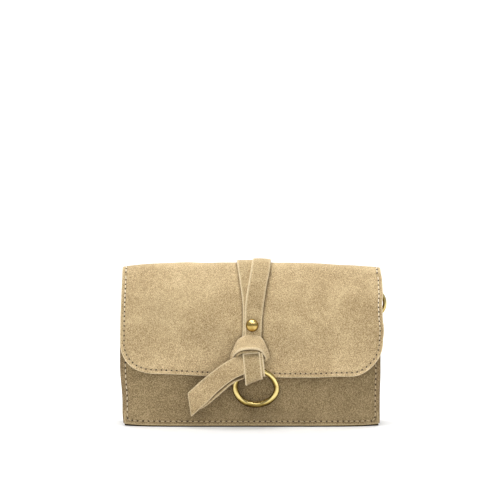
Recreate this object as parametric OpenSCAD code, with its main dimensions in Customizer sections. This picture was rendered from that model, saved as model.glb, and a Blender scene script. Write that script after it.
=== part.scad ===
// Suede wristlet wallet: a gusseted pouch whose back runs over the top into a front flap.
// Two straps come over the flap from the back, are riveted to it, and end in a knot that
// carries a brass ring. A D-ring sits in the right gusset, and a zipped coin pocket inside.
// X is the width, the front faces -Y, and the wallet stands on Z = 0.

/* [Body] */
// Width of the flap
flap_w = 188; // [180:1:200]
// Height of the fold's outer face above the base
height = 118; // [114:1:124]
// Outer radius of the fold that the flap turns over
fold_r = 7; // [6.5:0.5:8]
// How far the flap's face swells forward of the fold
front_belly = 14; // [13:0.5:15]
// How far the back swells behind the fold
back_belly = 10; // [9:0.5:12]
// Thickness of the outer suede
suede_t = 1.2; // [1:0.1:1.3]
// Thickness of the lining leather
lining_t = 1; // [0.8:0.1:1.1]

/* [Flap] */
// Height of the flap's lower edge above the base
flap_z = 36; // [34:1:38]
// Radius of the flap's lower corners
corner_r = 24; // [18:1:28]
// Room between the closed flap and the front panel, filled by the snap
flap_gap = 2.6; // [2.6:0.1:3]
// Distance from one stitch to the next
stitch_pitch = 3.7; // [3.5:0.1:4.5]

/* [Strap and knot] */
// Width of each strap
strap_w = 12.6; // [11:0.2:13]
// Thickness of each strap
strap_t = 1.5; // [1.3:0.1:1.6]
// Diameter of the rivet's dome
rivet_d = 9.2; // [8:0.2:10]
// Centreline radius of the brass ring
ring_r = 14.6; // [14:0.1:15]
// Wire diameter of the brass ring
ring_wire = 3.8; // [3.4:0.1:4]
// How far the ring leans back from the vertical
ring_lean = 25; // [18:1:26]

/* [Wrist ring] */
// Width inside the D-ring
d_inner = 18; // [17:0.5:18]
// Wire diameter of the D-ring
d_wire = 2.8; // [2.6:0.1:3]

/* [Hidden] */

$fn = 48;
body_w = flap_w - 4;
fold_z = height - fold_r;
belly_h = 48;
belly_z = fold_z - belly_h;
belly_steps = 7;
flap_t = suede_t + lining_t;
plate_t = 1.4;           // thickness of the base
seam_h = 8;              // height of the base's upturned flanges
flange_w = 5.5;          // width of the gusset's sewn edge
lining_w = body_w - 2 * flange_w - 3;
toe_in = 1.2;            // how far the panels draw in towards the base
mouth_z = 98;            // top edge of the front panel
joint_gap = 0.3;         // room between the fold and what turns with the flap
reach = 80;              // longer than the wallet is deep, for cutting tools

// Heights at which every wall's profile bends, so that neighbouring faces match
levels = concat([0, seam_h, 20, flap_z, 50],
                [for (i = [0 : belly_steps]) belly_z + i * belly_h / belly_steps]);

function swell(z) = z <= belly_z ? 1 : cos(90 * (z - belly_z) / belly_h);
function tuck(z) = toe_in * max(0, 1 - z / flap_z);

flap_profile = [for (z = levels) [z, -(fold_r + front_belly * swell(z))]];
back_profile = [for (z = levels) [z, fold_r + back_belly * swell(z) - tuck(z)]];

function flap_y(z) = lookup(z, flap_profile);
function panel_y(z) = flap_y(z) + flap_t + flap_gap + tuck(z);
function back_y(z) = lookup(z, back_profile);
function panel_in(z) = panel_y(z) + suede_t;
function back_in(z) = back_y(z) - suede_t;
function middle_y(z) = (panel_in(z) + back_in(z)) / 2;

suede = [0.76, 0.66, 0.50];
suede_dark = [0.66, 0.56, 0.41];
lining = [0.72, 0.61, 0.45];
thread = [0.90, 0.84, 0.70];
brass = [0.71, 0.57, 0.26];
tape_colour = [0.62, 0.53, 0.40];

// ---- Shared shapes ----

function steps(low, high) = concat([low], [for (z = levels) if (z > low && z < high) z], [high]);

// A wall of constant section along X, between two faces given as functions of height
module wall(outer, inner, low, high, width) {
    zs = steps(low, high);
    rotate([90, 0, 90])
        linear_extrude(width, center = true)
            polygon(concat([for (z = zs) [outer(z), z]],
                           [for (i = [len(zs) - 1 : -1 : 0]) [inner(zs[i]), zs[i]]]));
}

// A flat outline in X and Z, carried right through the depth of the wallet
module through(points) {
    translate([0, reach / 2, 0])
        rotate([90, 0, 0])
            linear_extrude(reach)
                polygon(points);
}

// A cylinder along Y from one depth to another
module peg(x, z, r, y0, y1) {
    translate([x, y1, z])
        rotate([90, 0, 0])
            cylinder(r = r, h = y1 - y0);
}

function arc(cx, cz, r, from, to, n = 8) =
    [for (i = [0 : n]) [cx + r * cos(from + (to - from) * i / n), cz + r * sin(from + (to - from) * i / n)]];

// The flap seen from the front, with round lower corners
function flap_outline(inset) =
    let (half = flap_w / 2 - inset, low = flap_z + inset, r = corner_r - inset)
    concat([[-half, height], [half, height]],
           arc(half - r, low + r, r, 0, -90),
           arc(r - half, low + r, r, -90, -180));

// Half of a round shell along X, over the fold's centre line
module arch(inner_r, outer_r, x, width) {
    translate([x - width / 2, 0, fold_z])
        intersection() {
            rotate([0, 90, 0])
                difference() {
                    cylinder(r = outer_r, h = width);
                    translate([0, 0, -1])
                        cylinder(r = inner_r, h = width + 2);
                }
            translate([-1, -reach / 2, 0])
                cube([width + 2, reach, reach]);
        }
}

// ---- Pouch ----

module front_panel() {
    color(suede_dark)
        difference() {
            wall(function(z) panel_y(z), function(z) panel_in(z), 1, mouth_z, body_w);
            prongs(snap_prong_slot, panel_y(snap_z) - 1, panel_in(snap_z) + 1);
        }
}

module front_lining() {
    color(lining)
        difference() {
            wall(function(z) panel_in(z), function(z) panel_in(z) + lining_t,
                 seam_h + 0.4, mouth_z - 1, lining_w);
            peg(snap_x, snap_z, snap_r - 0.7, panel_in(snap_z) - 1, panel_in(snap_z) + washer_t + 0.1);
        }
}

module back_panel() {
    color(suede)
        wall(function(z) back_y(z), function(z) back_in(z), 1, fold_z, body_w);
}

module back_lining() {
    color(lining)
        wall(function(z) back_in(z), function(z) back_in(z) - lining_t,
             seam_h + 0.4, fold_z, lining_w);
}

// Bottom strip: a plate to stand on, and a flange sewn inside each panel
module base_panel() {
    flange = [0, plate_t, seam_h];
    color(suede_dark) {
        rotate([90, 0, 90])
            linear_extrude(lining_w, center = true)
                polygon([
                    [panel_in(0), 0], [back_in(0), 0],
                    [back_in(flange[2]), flange[2]], [back_in(flange[2]) - suede_t, flange[2]],
                    [back_in(flange[1]) - suede_t, flange[1]], [panel_in(flange[1]) + suede_t, flange[1]],
                    [panel_in(flange[2]) + suede_t, flange[2]], [panel_in(flange[2]), flange[2]]
                ]);
        rotate([90, 0, 90])
            linear_extrude(body_w, center = true)
                polygon([
                    [panel_in(0), 0], [back_in(0), 0],
                    [back_in(plate_t), plate_t], [panel_in(plate_t), plate_t]
                ]);
    }
}

gusset_edge = 0.6;       // how far the gusset's raw edge stands past the panels
gusset_fold = 12;        // how far the gusset folds inward
gusset_low = 1.6;
gusset_levels = concat([gusset_low], [for (z = levels) if (z > gusset_low && z < mouth_z) z], [mouth_z]);

// One level of the gusset seen from above: flange, inward fold, flange
function gusset_ring(z) =
    let (out = body_w / 2 + gusset_edge, bend = body_w / 2 - flange_w, valley = body_w / 2 - gusset_fold,
         f = panel_in(z), b = back_in(z), m = middle_y(z), t = suede_t)
    [
        [out, f, z], [bend, f, z], [valley, m, z], [bend, b, z], [out, b, z],
        [out, b - t, z], [bend + t / 2, b - t, z], [valley + t, m, z], [bend + t / 2, f + t, z], [out, f + t, z]
    ];

module gusset() {
    n = 10;
    rings = [for (z = gusset_levels) gusset_ring(z)];
    last = (len(rings) - 1) * n;
    sides = [for (k = [0 : len(rings) - 2]) for (i = [0 : n - 1])
        for (tri = [[k * n + i, (k + 1) * n + i, k * n + (i + 1) % n],
                    [(k + 1) * n + i, (k + 1) * n + (i + 1) % n, k * n + (i + 1) % n]]) tri];
    strip = [[0, 1, 8], [0, 8, 9], [1, 2, 7], [1, 7, 8], [2, 3, 6], [2, 6, 7], [3, 4, 5], [3, 5, 6]];
    polyhedron(points = [for (r = rings) for (p = r) p],
               faces = concat(sides, strip, [for (s = strip) [s[0] + last, s[2] + last, s[1] + last]]));
}

module left_gusset() {
    color(suede_dark)
        mirror([1, 0, 0])
            gusset();
}

module right_gusset() {
    color(suede_dark)
        difference() {
            gusset();
            translate([tab_in - 1, tab_y - tab_t - 0.15, tab_z - tab_w / 2 - 0.2])
                cube([tab_x - tab_in, 2 * tab_t + 0.3, tab_w + 0.4]);
        }
}

// ---- Stitching ----

stitch_len = 2.5;
stitch_d = 0.7;
stitch_in = 3;           // distance from the raw edge to the seam

// One stitch lying on a face, turned in that face by angle
module stitch(x, y, z, angle) {
    translate([x, y, z])
        rotate([0, -angle, 0])
            cube([stitch_len, stitch_d, stitch_d], center = true);
}

// Down one side, along the bottom and up the other side of a panel; side is -1 for the front
module seam(face, side) {
    half = body_w / 2 - 2.6;
    low = 3.8;
    pitch = stitch_pitch + 0.3;
    rows = floor((mouth_z - 4 - low) / pitch);
    across = floor((2 * half - 4) / pitch);
    for (sx = [-1, 1])
        for (i = [0 : rows])
            let (z = low + 2 + i * pitch)
                stitch(sx * half, face(z) + side * stitch_d / 4, z, 90);
    for (i = [0 : across])
        stitch((i - across / 2) * pitch, face(low) + side * stitch_d / 4, low, 0);
}

module front_stitching() {
    color(thread)
        seam(function(z) panel_y(z), -1);
}

module back_stitching() {
    color(thread)
        seam(function(z) back_y(z), 1);
}

module flap_stitching() {
    half = flap_w / 2 - stitch_in;
    low = flap_z + stitch_in;
    r = corner_r - stitch_in;
    top = fold_z - 4;
    rows = floor((top - low - r) / stitch_pitch);
    turn = round(PI * r / 2 / stitch_pitch);
    across = floor(2 * (half - r) / stitch_pitch);
    color(thread) {
        for (sx = [-1, 1]) {
            for (i = [0 : rows])
                let (z = low + r + 1 + i * stitch_pitch)
                    stitch(sx * half, flap_y(z) - stitch_d / 4, z, 90);
            for (i = [0 : turn - 1])
                let (a = -90 * (i + 0.5) / turn)
                    stitch(sx * (half - r + r * cos(a)), flap_y(low) - stitch_d / 4,
                           low + r + r * sin(a), sx * (a + 90));
        }
        for (i = [0 : across])
            stitch((i - across / 2) * stitch_pitch, flap_y(low) - stitch_d / 4, low, 0);
    }
}

// ---- Coin pocket, card slots and zip ----

pocket_w = 154;
pocket_y = 3.8;          // half the room inside the coin pocket
pocket_t = 0.9;
pocket_low = plate_t;
pocket_top = 84;
card_w = 94;
card_t = 0.7;

module pocket_wall(side) {
    color(lining)
        translate([-pocket_w / 2, side > 0 ? pocket_y : -pocket_y - pocket_t, pocket_low])
            cube([pocket_w, pocket_t, pocket_top - pocket_low]);
}

module pocket_front_wall() pocket_wall(-1);
module pocket_back_wall() pocket_wall(1);

// The strip between the two walls that closes the pocket's sides and bottom
module pocket_edge() {
    rim = 2;
    color(lining)
        translate([-pocket_w / 2, -pocket_y, pocket_low])
            difference() {
                cube([pocket_w, 2 * pocket_y, pocket_top - pocket_low]);
                translate([rim, -1, rim])
                    cube([pocket_w - 2 * rim, 2 * pocket_y + 2, pocket_top]);
            }
}

// The slots step down towards the front: layer 0 is the tallest and lies on the pocket
module card_slot(layer) {
    step = 10;
    y = -pocket_y - pocket_t - (layer + 1) * (card_t + 0.1);
    color(lining)
        translate([-card_w / 2, y, pocket_low + 5])
            cube([card_w, card_t, 68 - layer * step]);
}

module card_slot_high() card_slot(0);
module card_slot_middle() card_slot(1);
module card_slot_low() card_slot(2);

tape_t = 0.5;
tape_z = pocket_top;
tape_in = 2.2;           // the tape's inner edge, where the teeth begin
tape_out = 6.5;
tooth_pitch = 3;
tooth_w = 1.2;
tooth_h = 1.6;
zip_low = -70;
zip_high = 62;
slider_x = 62;           // the slider's place when the zip is closed
slider_l = 9;
slider_half = 3.4;
pin_z = tape_z + 4.4;    // axis of the pull's pin

module zip_tape(side) {
    color(tape_colour)
        translate([-pocket_w / 2 + 1, side > 0 ? tape_in : -tape_out, tape_z])
            cube([pocket_w - 2, tape_out - tape_in, tape_t]);
}

module zip_tape_front() zip_tape(-1);
module zip_tape_back() zip_tape(1);

// Each row's teeth reach past the middle, between those of the other row
module zip_teeth(side) {
    bite = 0.5;
    shift = side > 0 ? tooth_pitch / 2 : 0;
    color(brass)
        for (x = [zip_low : tooth_pitch : zip_high])
            translate([x + shift, side * (tape_in - bite) / 2, tape_z + tape_t / 2])
                cube([tooth_w, tape_in + bite, tooth_h], center = true);
}

module zip_teeth_front() zip_teeth(-1);
module zip_teeth_back() zip_teeth(1);

module zip_stops() {
    color(brass)
        for (x = [zip_low - 3, slider_x + slider_l / 2 + 2])
            translate([x, 0, tape_z + tape_t + 0.5])
                cube([2, 2 * tape_in + 2, 1], center = true);
}

// Two plates around the chain, joined by a wedge at the leading end, with lugs for the pull
module zip_slider() {
    mid = tape_z + tape_t / 2;
    room = tooth_h / 2 + 0.3;
    plate_t = 1.1;
    lip = 0.7;
    lug_x = 2.6;
    lug_y = 0.8;
    color(brass)
        translate([slider_x, 0, mid]) {
            for (s = [-1, 1]) {
                translate([-slider_l / 2, -slider_half, s > 0 ? room : -room - plate_t])
                    cube([slider_l, 2 * slider_half, plate_t]);
                for (e = [-1, 1])
                    translate([-slider_l / 2, e > 0 ? slider_half - lip : -slider_half,
                               s > 0 ? tape_t / 2 + 0.2 : -room - plate_t])
                        cube([slider_l, lip, room + plate_t - tape_t / 2 - 0.2]);
                translate([-lug_x / 2, s > 0 ? 1.2 : -1.2 - lug_y, room])
                    cube([lug_x, lug_y, pin_z - mid + 1.2 - room]);
            }
            translate([slider_l / 2 - 1.2, -0.6, -room - plate_t])
                cube([1.2, 1.2, 2 * (room + plate_t)]);
            translate([0, 2, pin_z - mid])
                rotate([90, 0, 0])
                    cylinder(r = 0.7, h = 4);
        }
}

module zip_pull() {
    eye_r = 1.6;
    length = 12;
    color(brass)
        translate([slider_x, 0, pin_z])
            difference() {
                union() {
                    rotate([90, 0, 0])
                        cylinder(r = eye_r, h = 2, center = true);
                    translate([-4, -1, -0.6])
                        cube([4, 2, 1.2]);
                    translate([-length, -2.5, -0.6])
                        cube([length - 3, 5, 1.2]);
                }
                rotate([90, 0, 0])
                    cylinder(r = 0.78, h = 8, center = true);
            }
}

// ---- Magnetic snap ----

snap_x = 0.6;
snap_z = 52;
snap_r = 8;
snap_t = 1.2;
washer_t = 0.5;
snap_prong = [0.5, 2.4];
snap_prong_slot = [0.9, 2.8];
snap_hole_r = 3.2;

// The two bent legs that hold a half of the snap, or the slots they pass through
module prongs(size, y0, y1) {
    for (s = [-1, 1])
        translate([snap_x + s * 5 - size[0] / 2, y0, snap_z - size[1] / 2])
            cube([size[0], y1 - y0, size[1]]);
}

module snap_socket() {
    face = panel_y(snap_z);
    color(brass) {
        difference() {
            peg(snap_x, snap_z, snap_r, face - snap_t, face);
            peg(snap_x, snap_z, snap_hole_r, face - snap_t - 1, face + 1);
        }
        prongs(snap_prong, face - 0.2, panel_in(snap_z));
    }
}

module snap_socket_washer() {
    color(brass)
        peg(snap_x, snap_z, snap_r - 1, panel_in(snap_z), panel_in(snap_z) + washer_t);
}

module snap_stud() {
    face = flap_y(snap_z) + flap_t;
    color(brass) {
        peg(snap_x, snap_z, snap_r, face, face + snap_t);
        peg(snap_x, snap_z, 2, face + snap_t - 0.2, face + snap_t + 0.9);
        prongs(snap_prong, face - lining_t + washer_t + 0.1, face + 0.2);
    }
}

module snap_stud_washer() {
    face = flap_y(snap_z) + suede_t;
    color(brass)
        peg(snap_x, snap_z, snap_r - 1, face, face + washer_t);
}

// ---- Wrist ring ----

tab_x = body_w / 2 - 4.3;
tab_z = 88;
tab_y = middle_y(tab_z);
tab_t = 1;
tab_w = 14;
tab_in = body_w / 2 - 14.4;

// A leather tab that goes round the D-ring's bar and through the gusset's fold
module wrist_ring_tab() {
    color(suede)
        translate([0, tab_y, tab_z - tab_w / 2])
            difference() {
                union() {
                    translate([tab_x, 0, 0])
                        cylinder(r = d_wire / 2 + tab_t, h = tab_w);
                    translate([tab_in, -tab_t, 0])
                        cube([tab_x - tab_in, 2 * tab_t, tab_w]);
                }
                translate([tab_x, 0, -1])
                    cylinder(r = d_wire / 2 + 0.08, h = tab_w + 2);
            }
}

module d_ring() {
    bow_r = (d_inner + d_wire) / 2;
    color(brass)
        translate([tab_x, tab_y, tab_z]) {
            cylinder(d = d_wire, h = 2 * bow_r, center = true);
            for (s = [-1, 1])
                translate([0, 0, s * bow_r])
                    sphere(d = d_wire);
            rotate([90, 0, 0])
                rotate([0, 0, -90])
                    rotate_extrude(angle = 180)
                        translate([bow_r, 0])
                            circle(d = d_wire);
        }
}

// ---- Straps ----

// Centre line of each strap down the front, as height and X, in falling width of the V
left_line = [[44, 0], [62, 0], [76, 0.7], [87, 1.1], [94, 0], [105, -1.9], [112, -3.2]];
right_line = [[44, 0.4], [63, 0.5], [76, 1.5], [87, 2.5], [95, 3.6], [105, 6], [112, 7.3]];
left_top_x = -4.2;
right_top_x = 8.2;
left_off = 0;
right_off = strap_t + 0.1;
strap_low = 44;          // the straps run down behind the knot to here
strap_back_z = 78;       // and down the back to here
rivet_x = 0.6;
rivet_z = 72.5;
rivet_hole_r = 1.6;

function strap_outline(line) =
    concat([for (p = line) [p[1] - strap_w / 2, p[0]]],
           [for (i = [len(line) - 1 : -1 : 0]) [line[i][1] + strap_w / 2, line[i][0]]]);

module strap_front(line, off) {
    color(suede)
        difference() {
            intersection() {
                wall(function(z) flap_y(z) - off - strap_t, function(z) flap_y(z) - off,
                     strap_low, fold_z - joint_gap, 4 * strap_w);
                through(strap_outline(line));
            }
            peg(rivet_x, rivet_z, rivet_hole_r, -reach / 2, 0);
        }
}

module strap_left() strap_front(left_line, left_off);
module strap_right() strap_front(right_line, right_off);

module strap_over(x, off) {
    color(suede)
        arch(fold_r + off, fold_r + off + strap_t, x, strap_w);
}

module strap_fold_left() strap_over(left_top_x, left_off);
module strap_fold_right() strap_over(right_top_x, right_off);

module strap_back(x, off) {
    color(suede)
        difference() {
            translate([x, 0, 0])
                wall(function(z) back_y(z) + off, function(z) back_y(z) + off + strap_t,
                     strap_back_z, fold_z, strap_w);
            peg(x, anchor_z, 1.7, 0, reach / 2);
        }
}

module strap_back_left() strap_back(left_top_x, left_off);
module strap_back_right() strap_back(right_top_x, right_off);

anchor_z = 84;

// A flat-headed rivet through each strap, seated on the back panel
module strap_anchor_rivets() {
    color(brass)
        for (s = [[left_top_x, left_off], [right_top_x, right_off]])
            let (seat = back_y(anchor_z), head = back_y(anchor_z - 3.5) + s[1] + strap_t) {
                peg(s[0], anchor_z, 3.5, head, head + 1);
                peg(s[0], anchor_z, 1.5, seat + 0.3, head + 0.2);
            }
}

// ---- Fold and flap ----

module fold() {
    color(suede)
        arch(fold_r - suede_t, fold_r, 0, flap_w);
}

module fold_lining() {
    color(lining)
        arch(fold_r - flap_t, fold_r - suede_t, 0, lining_w);
}

module flap_panel() {
    color(suede)
        difference() {
            intersection() {
                wall(function(z) flap_y(z), function(z) flap_y(z) + suede_t,
                     flap_z, fold_z - joint_gap, flap_w);
                through(flap_outline(0));
            }
            peg(rivet_x, rivet_z, rivet_hole_r, -reach / 2, 0);
        }
}

module flap_lining() {
    face = flap_y(snap_z) + suede_t;
    color(lining)
        difference() {
            intersection() {
                wall(function(z) flap_y(z) + suede_t, function(z) flap_y(z) + flap_t,
                     flap_z, fold_z - joint_gap, flap_w);
                through(flap_outline(0.4));
            }
            peg(rivet_x, rivet_z, rivet_hole_r, -reach / 2, 0);
            peg(snap_x, snap_z, snap_r - 0.7, face - 1, face + washer_t + 0.1);
            prongs(snap_prong_slot, face - 1, face + lining_t + 1);
        }
}

// Dome with its post through the straps, the suede and the lining
module dome_rivet() {
    seat = flap_y(rivet_z - rivet_d / 2) - right_off - strap_t;
    dome_h = 3.4;
    dome_r = (pow(rivet_d / 2, 2) + pow(dome_h, 2)) / (2 * dome_h);
    color(brass) {
        intersection() {
            translate([rivet_x, seat - dome_h + dome_r, rivet_z])
                sphere(r = dome_r);
            translate([rivet_x - rivet_d, seat - rivet_d, rivet_z - rivet_d])
                cube([2 * rivet_d, rivet_d, 2 * rivet_d]);
        }
        peg(rivet_x, rivet_z, 1.4, seat - 0.5, rivet_back);
    }
}

rivet_base_r = 3;
rivet_back = flap_y(rivet_z + rivet_base_r) + flap_t;

module rivet_base() {
    color(brass)
        peg(rivet_x, rivet_z, rivet_base_r, rivet_back, rivet_back + 0.6);
}

// ---- Knot, ring and tail ----

knot_back = flap_y(belly_z) - right_off - strap_t;
bar_x = 2.8;             // the ring's top, halfway across it
bar_y = knot_back - 6.4;
bar_z = 41.8;
loop_in = 3.7;
loop_t = 1.8;
loop_x = 1.2;
loop_w = 12.4;
loop_top = 57;
knot_front = bar_y - loop_in - loop_t - 1.4;

// The loop hangs beside the ring's top, so the wire runs through it at a slant
loop_turn = asin((bar_x - loop_x) / ring_r);
loop_sag = ring_r * (1 - cos(loop_turn));
loop_mid = [loop_x, bar_y + loop_sag * sin(ring_lean), bar_z - loop_sag * cos(ring_lean)];

// Places its children on the middle of the loop, with X along the wire
module in_loop() {
    translate(loop_mid)
        rotate([0, 0, -asin(sin(loop_turn) * sin(ring_lean))])
            rotate([0, -asin(sin(loop_turn) * cos(ring_lean)), 0])
                children();
}

module loop_legs(room) {
    translate([-loop_w / 2 - room, -loop_in - loop_t - room, 0])
        cube([loop_w + 2 * room, 2 * (loop_in + loop_t + room), loop_top - bar_z + room]);
}

// The band that crosses over the straps and the loop's legs, as an arch open below
module knot_wrap() {
    outline = [
        [-15.6, 48.6], [-14.6, 51.3], [-13.5, 54], [-12.3, 57.5], [-11.2, 60.6], [-8.7, 62.8],
        [-6, 63.6], [5.6, 63.6], [8.6, 61.7], [10.3, 58.1], [11.7, 54.6], [12.4, 51.7], [12, 49.2],
        [10.8, 47.4], [9, 49.5], [8, 52], [6, 53.2], [-6, 53], [-10, 51.6], [-13, 49]
    ];
    color(suede)
        difference() {
            intersection() {
                through(outline);
                translate([-reach / 2, knot_front, 0])
                    cube([reach, knot_back - knot_front, reach]);
            }
            in_loop()
                loop_legs(0.05);
        }
}

// The strap turned round the ring's wire, with both legs up into the knot
module ring_loop() {
    color(suede)
        in_loop()
            difference() {
                union() {
                    rotate([90, 0, 90])
                        cylinder(r = loop_in + loop_t, h = loop_w, center = true);
                    loop_legs(0);
                }
                rotate([90, 0, 90])
                    cylinder(r = loop_in, h = loop_w + 2, center = true);
                translate([-loop_w, -loop_in, 0])
                    cube([2 * loop_w, 2 * loop_in, reach]);
            }
}

tail_gap = 1.9;          // from the wire's centre forward to the tail's back face
tail_turn = 10;          // how far the tail's end turns back towards the panel

// A strap end that leaves the knot down to the left; shift moves it forward
module tail(shift, outline) {
    color(suede)
        translate([-7, bar_y - tail_gap - shift, 0])
            rotate([0, 0, -tail_turn])
                translate([7, 0, 0])
                    rotate([90, 0, 0])
                        linear_extrude(strap_t)
                            polygon(outline);
}

module tail_upper() {
    tail(strap_t + 0.1, [
        [-7, 45.5], [-14, 47.2], [-21, 44.6], [-26, 41.2], [-41.5, 28], [-45.6, 24.4],
        [-43, 8.4], [-36, 15], [-26, 25], [-15.3, 34], [-7, 38.4]
    ]);
}

module tail_lower() {
    tail(0, [[-7, 44], [-14, 44.5], [-38.4, 24], [-36.8, 13.4], [-22.4, 24.6], [-12, 33.4], [-7, 35.2]]);
}

module o_ring() {
    color(brass)
        translate([bar_x, bar_y, bar_z])
            rotate([ring_lean, 0, 0])
                translate([0, 0, -ring_r])
                    rotate([90, 0, 0])
                        rotate_extrude()
                            translate([ring_r, 0])
                                circle(d = ring_wire);
}

// ---- Build ----

front_panel();
front_lining();
back_panel();
back_lining();
base_panel();
left_gusset();
right_gusset();
front_stitching();
back_stitching();
pocket_front_wall();
pocket_back_wall();
pocket_edge();
card_slot_low();
card_slot_middle();
card_slot_high();
zip_tape_front();
zip_tape_back();
zip_teeth_front();
zip_teeth_back();
zip_stops();
zip_slider();
zip_pull();
snap_socket();
snap_socket_washer();
wrist_ring_tab();
d_ring();
strap_back_left();
strap_back_right();
strap_anchor_rivets();
fold();
fold_lining();
strap_fold_left();
strap_fold_right();
flap_panel();
flap_lining();
flap_stitching();
snap_stud();
snap_stud_washer();
strap_left();
strap_right();
dome_rivet();
rivet_base();
knot_wrap();
ring_loop();
tail_upper();
tail_lower();
o_ring();
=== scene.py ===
import math

import bmesh
import bpy
import numpy as np
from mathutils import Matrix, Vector


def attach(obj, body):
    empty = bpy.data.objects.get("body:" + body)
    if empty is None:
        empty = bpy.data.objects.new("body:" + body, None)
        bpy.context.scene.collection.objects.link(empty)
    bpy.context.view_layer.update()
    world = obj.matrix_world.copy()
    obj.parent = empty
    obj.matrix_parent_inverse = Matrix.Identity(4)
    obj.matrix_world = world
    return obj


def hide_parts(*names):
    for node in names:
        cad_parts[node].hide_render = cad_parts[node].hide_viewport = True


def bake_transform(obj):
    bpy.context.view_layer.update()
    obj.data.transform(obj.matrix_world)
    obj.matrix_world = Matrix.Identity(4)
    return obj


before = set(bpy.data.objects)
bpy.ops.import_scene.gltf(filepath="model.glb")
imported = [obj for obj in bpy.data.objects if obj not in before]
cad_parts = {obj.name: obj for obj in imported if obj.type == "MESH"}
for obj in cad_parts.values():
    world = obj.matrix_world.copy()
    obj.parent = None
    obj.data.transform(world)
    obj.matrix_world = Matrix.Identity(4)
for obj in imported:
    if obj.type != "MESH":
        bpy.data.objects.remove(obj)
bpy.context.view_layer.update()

MM = 0.001

# ---- The wallet's main sizes, in mm, as in the CAD ----

HALF_FLAP, HALF_BODY = 94.6, 92.0
FOLD_R, FOLD_Z, TOP_Z = 7.0, 111.0, 118.0
BELLY_Z, BELLY_H = 63.0, 48.0
FLAP_Z, CORNER_R, MOUTH_Z = 36.0, 24.0, 98.0
SUEDE_T, LINING_T, LINING_GAP, STRAP_T = 1.2, 1.0, 0.03, 1.5
SEAM_IN, PANEL_SEAM_IN, BACK_SEAM_IN = 3.0, 2.7, 2.6
SEAM_PITCH, BODY_PITCH, INNER_PITCH = 3.7, 4.0, 3.0
ZIP_Z = 84.5
INSIDE = (0, 0, 60)
BAR = np.array([2.8, -30.5, 41.8])
RING_R, WIRE_R, RING_LEAN = 14.6, 1.9, math.radians(25)


def swell(z):
    return np.where(z <= BELLY_Z, 1.0, np.cos(np.pi / 2 * (z - BELLY_Z) / BELLY_H))


def tuck(z):
    return 1.2 * np.maximum(0, 1 - z / FLAP_Z)


def flap_y(z):
    return -(FOLD_R + 14 * swell(z))


def panel_y(z):
    return flap_y(z) + 4.8 + tuck(z)


def back_y(z):
    return FOLD_R + 10 * swell(z) - tuck(z)


def step(a, b, x):
    t = np.clip((np.asarray(x, float) - a) / (b - a), 0, 1)
    return t * t * (3 - 2 * t)


def arc(first, last, n):
    """n angles in radians, between two in degrees."""
    return np.radians(np.linspace(first, last, n))


def grid(x, z):
    """Crossed grids of two rows of values, each given as (first, last, how many)."""
    return np.meshgrid(np.linspace(*x), np.linspace(*z), indexing="ij")


def unit(v, tiny=0.0):
    return v / (np.linalg.norm(v, axis=-1, keepdims=True) + tiny)


def lengths(points):
    """How far along a polyline each of its points is."""
    return np.concatenate([[0], np.cumsum(np.linalg.norm(np.diff(points, axis=0), axis=1))])


def at_lengths(points, length, at):
    return np.stack([np.interp(at, length, column) for column in points.T], axis=1)


WAVES = np.random.default_rng(11).uniform(0, 1, (14, 4))


def ripple(x, s, size):
    """Smooth waves of about that size in mm, between about -1 and 1."""
    total = 0
    for a, b, c, d in WAVES:
        angle = a * 2 * np.pi
        k = 2 * np.pi / (size * (0.7 + 0.9 * b))
        total = total + np.sin(k * (x * np.cos(angle) + s * np.sin(angle)) + c * 6.28) * (0.5 + d)
    return total / 5


# ---- Mesh building ----

SCENE = bpy.context.scene


def added(name, data):
    """A new object in the scene."""
    obj = bpy.data.objects.new(name, data)
    SCENE.collection.objects.link(obj)
    return obj


def smooth_mesh(name, verts, faces, material):
    mesh = bpy.data.meshes.new(name)
    mesh.from_pydata((verts * MM).tolist(), [], faces)
    mesh.materials.append(material)
    mesh.polygons.foreach_set("use_smooth", [True] * len(faces))
    return mesh


def make(name, verts, faces, material, attrs):
    """A smooth mesh piece from points in mm."""
    mesh = smooth_mesh(name, verts, faces, material)
    bm = bmesh.new()
    bm.from_mesh(mesh)
    bmesh.ops.recalc_face_normals(bm, faces=bm.faces)
    bm.to_mesh(mesh)
    bm.free()
    rest = mesh.attributes.new("rest", "FLOAT_VECTOR", "POINT")
    rest.data.foreach_set("vector", verts.astype(np.float32).ravel())
    for key, values in attrs.items():
        attribute = mesh.attributes.new(key, "FLOAT", "POINT")
        attribute.data.foreach_set("value", np.asarray(values, np.float32))
    mesh.update()
    obj = added(name, mesh)
    return obj


# A cut edge's rows: place across the sheet and how far it stands out, in shares of the thickness.
RIM = ((0.42, 0.20), (0.0, 0.28), (-0.42, 0.20))
TINY = 1e-12


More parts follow.
